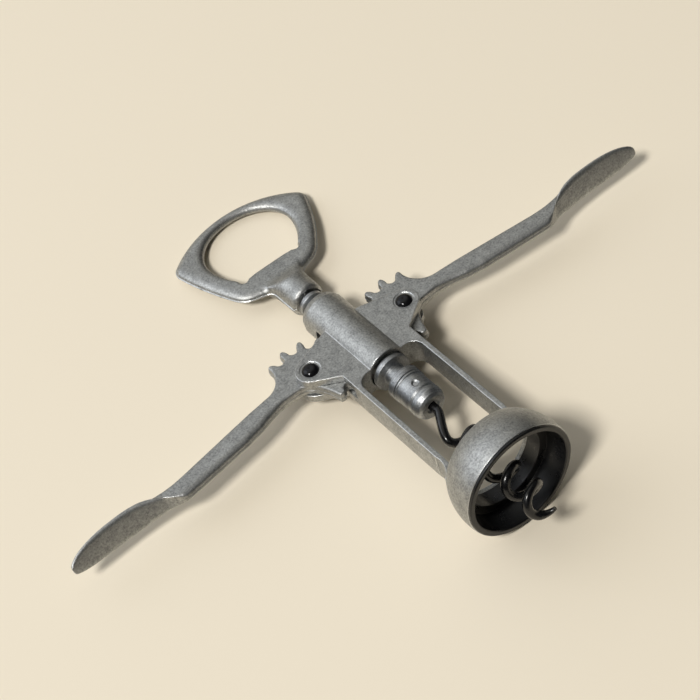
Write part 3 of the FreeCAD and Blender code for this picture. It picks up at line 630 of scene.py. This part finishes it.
class CastForm:
    """A flat casting as a height over its parting plane, the same in front and at the back."""

    # how far in from each edge its rows of points lie; rows after the dense ones have half as many
    rows = (0.12, 0.26, 0.34, 0.48, 0.72, 1.05, 1.5, 2.05)
    dense_rows = 5
    # a point of a row is left out where another edge is nearer than this share of its distance
    row_share = 0.93
    # the plain grid between the rows, and how far from the last row and from an edge points stay
    grid_step = 0.62
    margin = 0.3
    # small raised marks as place, radius and height, and the rings of points round each: their
    # radii as shares of the mark's, how many points a ring has and the radians between them
    beads = ()
    bead_rings = (0.35, 0.8, 1.3)
    bead_count = 12
    bead_turn = 0.5236

    def __init__(self, outer, holes):
        if signed_area(outer) < 0:
            outer.reverse()
        for hole in holes:
            if signed_area(hole) > 0:
                hole.reverse()
        loops = [outer, *holes]
        self.borders = [finely(loop, BORDER_STEP) for loop in loops]
        self.runs = [run for loop in self.borders for run in zip(loop, loop[1:] + loop[:1])]
        dense_loops = [finely(loop, DENSE_STEP) for loop in loops]
        self.dense = [point for loop in dense_loops for point in loop]
        self.normals = [direction for loop in dense_loops for direction in inward(loop)]
        self.border = tree_of(self.dense)

    def is_metal(self, point):
        """Whether a point lies inside the casting's outline and outside its holes."""
        _, number, distance = self.border.find((point.x, point.y, 0.0))
        if distance > NEAR_BORDER:
            return (point - self.dense[number]).dot(self.normals[number]) > 0
        crossed = 0
        for here, after in self.runs:
            if (here.y > point.y) != (after.y > point.y):
                across = here.x + (point.y - here.y) * (after.x - here.x) / (after.y - here.y)
                crossed += across > point.x
        return crossed % 2 == 1

    def row_points(self):
        """Rows that follow every edge closely."""
        for loop in self.borders:
            for number, (point, direction) in enumerate(zip(loop, inward(loop))):
                for row, distance in enumerate(self.rows):
                    place = point + direction * distance
                    wanted = row < self.dense_rows or number % 2 == 0
                    if wanted and away(self.border, place) > self.row_share * distance:
                        yield place

    def grid_points(self):
        """A plain grid in staggered lines over the whole outline."""
        left, right = (pick(point.x for point in self.dense) for pick in (min, max))
        low, high = (pick(point.y for point in self.dense) for pick in (min, max))
        step = self.grid_step
        for column in range(int((right - left) / step)):
            for line in range(int((high - low) / step)):
                shift = (line % 2) * step / 2
                yield Vector((left + column * step + shift, low + line * step))

    def bead_points(self):
        """Rings of points round each bead."""
        for bead, radius, _ in self.beads:
            for turn in range(self.bead_count):
                toward = Vector((1.0, 0.0)) @ Matrix.Rotation(turn * self.bead_turn, 2)
                for ring in self.bead_rings:
                    yield bead + toward * ring * radius

    def points(self):
        """All points inside the outline: the rows, the grid between them and the beads' rings."""
        found = list(self.row_points())
        for places, clear in ((self.grid_points(), self.rows[-1] + self.margin),
                              (self.bead_points(), self.margin)):
            found += [place for place in places
                      if away(self.border, place) > clear and self.is_metal(place)]
        return found

    def settle(self, point, height):
        """Where a point of the skin ends up."""
        return Vector((point.x, point.y, height))

    def mesh(self):
        """Both faces over one flat triangulation, and the band of edge between them."""
        points = []
        edges = []
        for loop in self.borders:
            first = len(points)
            points += loop
            edges += [(first + number, first + (number + 1) % len(loop))
                      for number in range(len(loop))]
        points += self.points()
        places, _, faces, *_ = delaunay_2d_cdt(points, edges, [], 0, PLAN_ERROR)
        kept = [face for face in faces
                if self.is_metal(sum((places[corner] for corner in face), Vector((0.0, 0.0))) / 3)]
        build = bmesh.new()
        heights = [self.height(place) for place in places]
        front, back = ([build.verts.new(self.settle(place, side * height))
                        for place, height in zip(places, heights)] for side in (1.0, -1.0))
        for face in kept:
            build.faces.new([front[corner] for corner in face])
            build.faces.new([back[corner] for corner in reversed(face)])
        mirror = dict(zip(front, back))
        rims = [edge for edge in build.edges
                if len(edge.link_faces) == 1 and edge.verts[0] in mirror]
        for edge in rims:
            one, two = edge.link_loops[0].vert, edge.link_loops[0].link_loop_next.vert
            build.faces.new([two, one, mirror[one], mirror[two]])
        loose = [vertex for vertex in build.verts if not vertex.link_faces]
        bmesh.ops.delete(build, geom=loose, context="VERTS")
        return build


class HandleForm(CastForm):
    """The opener handle: a rounded head, a straight lip, and a neck that runs out into the head."""

    # small raised marks on the head and the web
    beads = ((Vector((4.0, 37.8)), 0.75, 0.42), (Vector((-6.4, 38.3)), 0.8, 0.45),
             (Vector((-3.4, 42.0)), 0.5, 0.16))
    hole_half_width = 2.5     # the hole up the neck, which isn't part of the outline
    hole_end = 44.0
    end_length = 1.3          # how much of the neck its rounded end takes
    end_margin = 0.02         # points this near the end's plane belong to the end
    lip_half_width = 9.0      # the straight lip, and how far round it the edge counts as lip
    lip_rise = 0.3
    turn_before = 4.0         # where the head's turn starts and ends, about the lean's start
    turn_after = 12.0
    far_edge_loss = 0.12      # keeps the far edge inside the frame's own length
    # from the lip outwards: where the web stops and the mouth's crown starts to widen, and where
    # that crown has its full width
    lip_band = 2.0
    mouth_band = 11.0
    mouth_trim = 3            # the ridge inside the mouth was trimmed down to a third
    web_spread = 6.8          # how far the web takes to reach its half width
    web_below = 0.1           # how much lower than the head the web ends
    web_sink = 0.3            # how far it sinks into the plate there
    round_power = 2.0         # the neck's section is a circle
    squaring = 3.0            # added to that power where the neck has become the web
    blend = 1.6               # how widely neck and plate melt together

    def __init__(self, sizes):
        self.sizes = sizes
        outer, mouth = largest_first(parting_loops("opener_handle"))[:2]
        outer = [point for point in outer
                 if not (abs(point.x) < self.hole_half_width and point.y < self.hole_end)]
        outer = [Vector((point.x * (1.0 - self.end_round(point.y) / sizes.neck_radius), point.y))
                 for point in finely(outer, BORDER_STEP)]
        super().__init__(outer, [mouth])
        # the neck's flat end isn't among the edges that are rounded
        past_end = sizes.neck_low + self.end_margin
        self.outer = tree_of([point for point in finely(outer, DENSE_STEP) if point.y > past_end])
        dense_mouth = finely(mouth, DENSE_STEP)
        self.lip = tree_of([point for point in dense_mouth if self.on_lip(point)])
        self.mouth = tree_of([point for point in dense_mouth if not self.on_lip(point)])

    def end_round(self, place):
        """How much the neck's radius has shrunk where its end is rounded over."""
        past = (place - self.sizes.neck_low) / self.end_length
        return self.sizes.end_round * max(0.0, 1.0 - past) ** 2

    def on_lip(self, point):
        """Whether a point of the mouth's edge belongs to the straight lip."""
        top = self.sizes.lip_place + self.lip_rise
        return point.y < top and abs(point.x) < self.lip_half_width

    def settle(self, point, height):
        """The head leans to one side, more the further out it lies, and turns with the lean."""
        sizes = self.sizes
        lean = sizes.head_lean * max(0.0, point.y - sizes.lean_from)
        turn = eased(ramp(point.y, sizes.lean_from - self.turn_before,
                          sizes.lean_from + self.turn_after))
        drop = (sizes.head_turn * point.x + self.far_edge_loss) * turn
        return Vector((point.x + lean, point.y - drop, height))

    def plate(self, point):
        """Height of the flat head, crowned along its outline, its mouth and its lip."""
        sizes = self.sizes
        outer = away(self.outer, point) - sizes.ridge_proud
        plate = sizes.half_depth * crown(outer, sizes.edge_width)
        # the mouth's crown narrows to the lip's beside it
        share = ramp(point.y, sizes.lip_place + self.lip_band, sizes.lip_place + self.mouth_band)
        width = sizes.lip_edge_width + share * (sizes.mouth_edge_width - sizes.lip_edge_width)
        plate *= crown(away(self.mouth, point) - sizes.ridge_proud / self.mouth_trim, width)
        return plate * crown(away(self.lip, point), sizes.lip_edge_width)

    def web(self, point, rise):
        """Height of the neck, which flattens from a round bar into a web behind the lip."""
        sizes = self.sizes
        neck = sizes.neck_radius - sizes.ridge_proud - self.end_round(point.y)
        # it stays narrow enough for the barrel's bore as far as the bore can come up it
        spread = ramp(point.y, sizes.bore_reach, sizes.bore_reach + self.web_spread)
        half_width = neck + (sizes.web_half_width - neck) * spread
        deep = neck + (sizes.half_depth - self.web_below - neck) * eased(rise)
        power = self.round_power + self.squaring * rise
        web = deep * (1.0 - min(abs(point.x) / half_width, 1.0) ** power) ** (1.0 / power)
        web *= point.y < sizes.lip_place + self.lip_band
        return web - self.web_sink * rise

    def height(self, point):
        """The higher of plate and web, with a soft join between them, and the beads on top."""
        sizes = self.sizes
        rise = ramp(point.y, sizes.web_place, sizes.web_place + sizes.web_length)
        plate = self.plate(point)
        web = self.web(point, rise)
        soft = self.blend * min(plate, 1.0) * min(max(web, 0.0), 1.0) * (1.0 - rise * rise)
        joined = (plate + web + ((plate - web) ** 2 + soft) ** 0.5) / 2
        for place, radius, height in self.beads:
            joined += height * math.exp(-((point - place).length / radius) ** 2)
        return max(joined, sizes.ridge_half)


class LeverForm(CastForm):
    """A lever, in its own axes from the rivet outwards: teeth, flat shank and thin upright leaf."""

    rows = (0.03, 0.1, 0.2, 0.34, 0.52, 0.76, 1.05, 1.5)
    grid_step = 0.6
    smooth_from = 44.0        # where the outline is smoothed between shank and leaf, and how often
    smooth_to = 68.0
    smooth_passes = 30
    teeth_end = 7.0           # beyond it an edge whose inward direction points up at least so
    facing_up = 0.2           # much is the lower edge
    rounding = (6.0, 17.0)    # where the lower edge grows rounder
    filling = (12.0, 22.0)    # where the shank grows fuller than its outline
    turn_delay = 1.5          # from the shank's end to the turn's start, and the turn's length
    turn_span = 7.0
    widest_at = 0.5           # shares of the leaf's length: where it is widest and starts to close
    closing_at = 0.6
    closing_power = 2.4
    tip_share = 0.12          # share of its width that the leaf has left at its tip
    least_thickness = 0.2
    side_power = 0.16         # how flat the leaf's sides are; 0.5 is a circle
    tip_loss = 0.04           # keeps the tip inside the frame's own width

    def __init__(self, sizes):
        self.sizes = sizes
        rivet = right_rivet()
        turn = Matrix.Rotation(sizes.angle, 2)
        outer, *holes = largest_first([[(point - rivet.xy) @ turn for point in loop]
                                       for loop in parting_loops("right_lever")])
        outer = finely(outer, BORDER_STEP)
        # the shank flows into the leaf without a corner
        for _ in range(self.smooth_passes):
            threes = zip(outer[-1:] + outer[:-1], outer, outer[1:] + outer[:1])
            outer = [(before + here * 2 + after) / 4
                     if self.smooth_from < here.x < self.smooth_to else here
                     for before, here, after in threes]
        super().__init__(outer, holes)
        dense = finely(outer, DENSE_STEP)
        below = [point.x > self.teeth_end and direction.y > self.facing_up
                 for point, direction in zip(dense, inward(dense))]
        self.belly = tree_of([point for point, low in zip(dense, below) if low])
        self.top = tree_of([point for point, low in zip(dense, below) if not low])

    def across(self, point):
        """How far a point lies from the lower edge and from the upper edge."""
        return away(self.belly, point), away(self.top, point)

    def leaf_share(self, point):
        """0 along the shank and 1 along the leaf; the upper edge turns later than the lower."""
        below, above = self.across(point)
        later = self.sizes.turn_length * below / (below + above + NOT_ZERO)
        start = self.sizes.shank_end + self.turn_delay + later
        return eased(ramp(point.x, start, start + self.turn_span))

    def half_leaf(self, place):
        """Half the leaf's width from front to back, which swells and then closes to its tip."""
        sizes = self.sizes
        along = ramp(place, sizes.shank_end, sizes.length)
        swell = eased(min(along / self.widest_at, 1.0))
        closed = max(0.0, (along - self.closing_at) / (1.0 - self.closing_at))
        left = max(0.0, 1.0 - closed ** self.closing_power) ** 0.5
        widest = sizes.half_depth + (sizes.leaf_half_width - sizes.half_depth) * swell
        return widest * (self.tip_share + (1.0 - self.tip_share) * left)

    def height(self, point):
        """The shank's flat with both edges rounded, which turns into the upright leaf."""
        sizes = self.sizes
        below, above = self.across(point)
        share = self.leaf_share(point)
        inside = sizes.ridge_proud * (1.0 - share)
        shank = sizes.half_depth * crown(above - inside, sizes.top_edge_width)
        wider = ramp(point.x, *self.rounding) * (sizes.belly_edge_width - sizes.top_edge_width)
        shank *= crown(below - inside, sizes.top_edge_width + wider)
        # the leaf is a plate with flat sides, rounded only along its front and back edges
        half_thick = max((below + above) / 2, self.least_thickness)
        over = 1.0 - min(away(self.border, point) / half_thick, 1.0)
        leaf = self.half_leaf(point.x) * (1.0 - over * over) ** self.side_power
        return max(shank + (leaf - shank) * share, sizes.ridge_half)

    def settle(self, point, height):
        """The shank is fuller than its outline; the leaf is thinner than the shank and leans."""
        sizes = self.sizes
        below, above = self.across(point)
        share = self.leaf_share(point)
        full = ramp(point.x, *self.filling) * (1.0 - share)
        swell = sizes.belly_swell * above - sizes.top_swell * below
        out = full * swell / (above + below + NOT_ZERO)
        thinner = (below - above) / 2 * sizes.leaf_thinning * share
        shift = height * sizes.leaf_lean * share - out - thinner
        return Vector((point.x - self.tip_loss * share, point.y + shift, height))


def place_piece(name, build, material):
    """Turns work in the tool's own axes and millimetres into an object of the scene."""
    build.transform(TOOL @ Matrix.Scale(MM, 4))
    bmesh.ops.recalc_face_normals(build, faces=build.faces)
    mesh = bpy.data.meshes.new(name)
    build.to_mesh(mesh)
    build.free()
    for polygon in mesh.polygons:
        polygon.use_smooth = True
    mesh.set_sharp_from_angle(angle=SHARP_ANGLE)
    mesh.materials.append(material)
    piece = bpy.data.objects.new(name, mesh)
    bpy.context.scene.collection.objects.link(piece)
    return piece


# ---------------------------------------- operators
class CORKSCREW_OT_frame_casting(bpy.types.Operator):
    """Finish the one-piece casting of barrel, ears, legs and bell"""

    bl_idname = "corkscrew.frame_casting"
    bl_label = "Frame casting"

    def execute(self, context):
        dress("frame_casting", tumbled_cast_zinc, context)
        return {"FINISHED"}


class CORKSCREW_OT_bell_liner(bpy.types.Operator):
    """Finish the black plastic ring in the bell"""

    bl_idname = "corkscrew.bell_liner"
    bl_label = "Bell liner"

    def execute(self, context):
        dress("bell_liner", moulded_black_plastic, context)
        return {"FINISHED"}


class CORKSCREW_OT_levers(bpy.types.Operator):
    """Shape and finish the two geared levers, which stand for the frame's square-edged solids"""

    bl_idname = "corkscrew.levers"
    bl_label = "Levers"

    def execute(self, context):
        sizes = context.scene.corkscrew_lever
        material = shared_finish(tumbled_cast_zinc, context)
        lie = Matrix.Translation(right_rivet()) @ Matrix.Rotation(sizes.angle, 4, "Z")
        right = LeverForm(sizes).mesh()
        right.transform(lie)
        left = right.copy()
        left.transform(Matrix.Scale(-1.0, 4, (1.0, 0.0, 0.0)))
        for side, build in (("right", right), ("left", left)):
            piece = place_piece(side + "_lever_cast", build, material)
            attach(piece, side + "_wing")
            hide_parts(side + "_lever")
        return {"FINISHED"}


class CORKSCREW_OT_rivets(bpy.types.Operator):
    """Finish the two rivets that the levers turn on"""

    bl_idname = "corkscrew.rivets"
    bl_label = "Rivets"

    def execute(self, context):
        for side in ("left_rivet", "right_rivet"):
            dress(side, blackened_rivet_steel, context)
        return {"FINISHED"}


class CORKSCREW_OT_opener_handle(bpy.types.Operator):
    """Shape and finish the crowned opener handle, which stands for the frame's plainer solid"""

    bl_idname = "corkscrew.opener_handle"
    bl_label = "Opener handle"

    def execute(self, context):
        material = shared_finish(tumbled_cast_zinc, context)
        form = HandleForm(context.scene.corkscrew_handle)
        piece = place_piece("opener_handle_cast", form.mesh(), material)
        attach(piece, "screw")
        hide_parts("opener_handle")
        return {"FINISHED"}


class CORKSCREW_OT_sleeve_and_chuck(bpy.types.Operator):
    """Finish the ring teeth, the chuck below them and its cross pin"""

    bl_idname = "corkscrew.sleeve_and_chuck"
    bl_label = "Sleeve and chuck"

    def execute(self, context):
        dress("rack_sleeve", turned_zinc, context)
        dress("worm_chuck", turned_zinc, context)
        dress("chuck_pin", drawn_pin_steel, context)
        return {"FINISHED"}


class CORKSCREW_OT_worm(bpy.types.Operator):
    """Finish the black wire worm"""

    bl_idname = "corkscrew.worm"
    bl_label = "Worm"

    def execute(self, context):
        dress("worm", coated_worm_steel, context)
        return {"FINISHED"}


class CORKSCREW_OT_stage(bpy.types.Operator):
    """Set the floor, the lamps, the room and the camera"""

    bl_idname = "corkscrew.stage"
    bl_label = "Stage"

    def execute(self, context):
        studio = context.scene.corkscrew_studio
        floor = square_floor(studio.floor_width)
        floor.data.materials.append(painted_board(studio))
        soft_lamp("key_lamp", heading=(-0.55, -0.18, 0.82), distance=6.0, side=1.2,
                  power=studio.key_power, colour="#fffdf8")
        soft_lamp("window_lamp", heading=(-0.60, 0.55, 0.50), distance=1.4, side=1.1,
                  power=studio.window_power, colour="#eef5ff")
        room_light(studio.sky_strength)
        table_camera(studio.lens)
        context.scene.view_settings.view_transform = "Standard"
        return {"FINISHED"}


OPERATORS = (
    CORKSCREW_OT_stage,
    CORKSCREW_OT_frame_casting,
    CORKSCREW_OT_bell_liner,
    CORKSCREW_OT_levers,
    CORKSCREW_OT_rivets,
    CORKSCREW_OT_opener_handle,
    CORKSCREW_OT_sleeve_and_chuck,
    CORKSCREW_OT_worm,
)


class CORKSCREW_PT_panel(bpy.types.Panel):
    """Lists the corkscrew's operators and settings"""

    bl_idname = "CORKSCREW_PT_panel"
    bl_label = "Wing corkscrew"
    bl_space_type = "VIEW_3D"
    bl_region_type = "UI"
    bl_category = "Corkscrew"

    def draw(self, context):
        column = self.layout.column(align=True)
        for operator in OPERATORS:
            column.operator(operator.bl_idname)
        for group in (getattr(context.scene, name) for name in GROUPS):
            box = self.layout.box().column(align=True)
            for name in group.__annotations__:
                box.prop(group, name)


GROUPS = {
    "corkscrew_finish": CorkscrewFinish,
    "corkscrew_handle": CorkscrewHandle,
    "corkscrew_lever": CorkscrewLever,
    "corkscrew_studio": CorkscrewStudio,
}
CLASSES = (*GROUPS.values(), *OPERATORS, CORKSCREW_PT_panel)


def register():
    for item in CLASSES:
        bpy.utils.register_class(item)
    for name, group in GROUPS.items():
        setattr(bpy.types.Scene, name, PointerProperty(type=group))


def unregister():
    for name in reversed(GROUPS):
        delattr(bpy.types.Scene, name)
    for item in reversed(CLASSES):
        bpy.utils.unregister_class(item)


def main():
    register()
    for operator in OPERATORS:
        family, name = operator.bl_idname.split(".")
        getattr(getattr(bpy.ops, family), name)()


if __name__ == "__main__":
    main()
